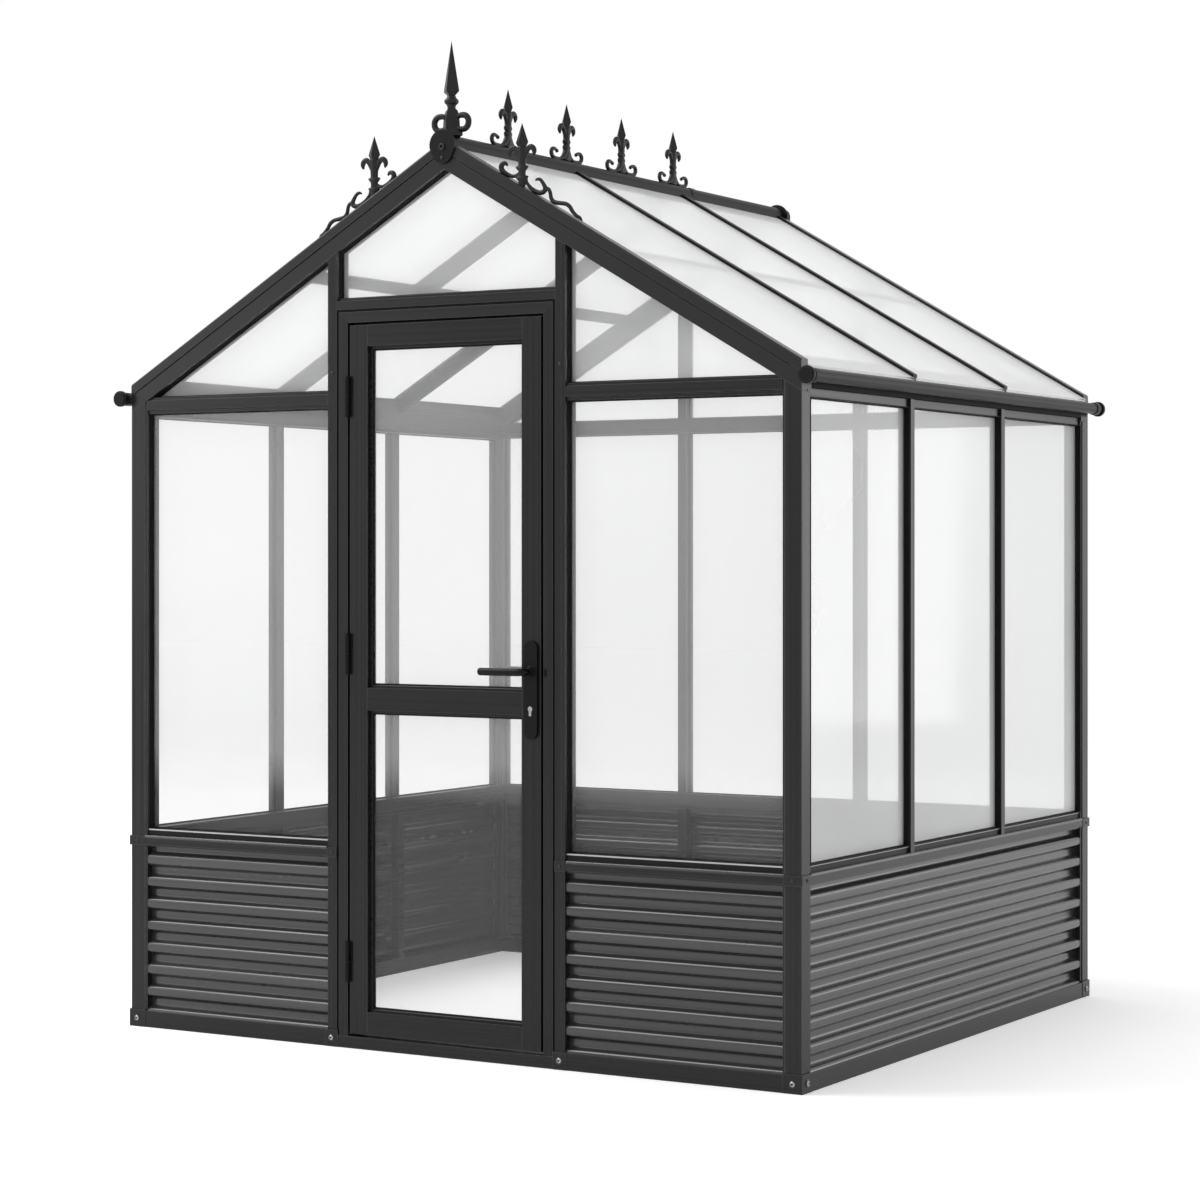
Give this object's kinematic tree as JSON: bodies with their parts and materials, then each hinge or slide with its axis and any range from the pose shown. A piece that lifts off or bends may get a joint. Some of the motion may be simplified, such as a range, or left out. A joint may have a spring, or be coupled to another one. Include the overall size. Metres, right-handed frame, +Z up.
{
  "type": "greenhouse",
  "caption": "Hobby greenhouse with a dark metal frame, clear sheets, a corrugated knee wall, a hinged glazed door with a lever handle, and cast cresting on its gabled roof.",
  "frame": {"origin": "middle of the footprint, on the ground", "axes": "+Z up, -Y out through the front gable and its door, +X to the right seen from the front"},
  "size_m": [2.184, 1.996, 2.663],
  "materials": {
    "frame": "dark charcoal powder coat, satin",
    "corrugated_sheet": "charcoal coated corrugated steel, satin",
    "clear_sheet": "clear polycarbonate",
    "cast_trim": "black paint, satin",
    "fittings": "black paint, satin"
  },
  "bodies": {
    "root": {"front_base_rail": "frame", "rear_base_rail": "frame", "side_base_rails": "frame", "corner_posts": "frame", "door_posts": "frame", "door_jambs": "frame", "door_head": "frame", "door_header": "frame", "front_transoms": "frame", "rear_transom": "frame", "wall_plates": "frame", "front_belt_rails": "frame", "rear_belt_rail": "frame", "side_belt_rails": "frame", "front_knee_panels": "corrugated_sheet", "rear_knee_panel": "corrugated_sheet", "left_knee_panel": "corrugated_sheet", "right_knee_panel": "corrugated_sheet", "knee_studs": "frame", "side_mullions": "frame", "rear_mullions": "frame", "front_windows": "clear_sheet", "rear_windows": "clear_sheet", "left_windows": "clear_sheet", "right_windows": "clear_sheet", "front_gable_sheets": "clear_sheet", "rear_gable_sheets": "clear_sheet", "left_roof_sheets": "clear_sheet", "right_roof_sheets": "clear_sheet", "front_rafters": "frame", "rear_rafters": "frame", "roof_bars": "frame", "purlins": "frame", "ridge_beam": "frame", "gable_bosses": "frame", "gutters": "frame", "frame_cleats": "frame", "front_spire": "cast_trim", "ridge_cresting": "cast_trim", "rafter_cresting": "cast_trim", "hinge_pins": "fittings"},
    "door": {"door_leaf": "frame", "door_sheets": "clear_sheet", "hinge_knuckles": "fittings", "lock_plates": "fittings"},
    "lever": {"door_lever": "fittings"}
  },
  "joints": [
    {"name": "door_swing", "type": "hinge", "parent": "root", "child": "door", "pos_m": [-0.303, -0.953, 0.98], "axis": [0, 0, -1], "range_deg": [0, 110]},
    {"name": "lever_turn", "type": "hinge", "parent": "door", "child": "lever", "pos_m": [0.272, -0.926, 1.013], "axis": [0, -1, 0], "range_deg": [0, 40], "stiffness_Nm_per_rad": 1.2, "springref_deg": -20.05}
  ]
}
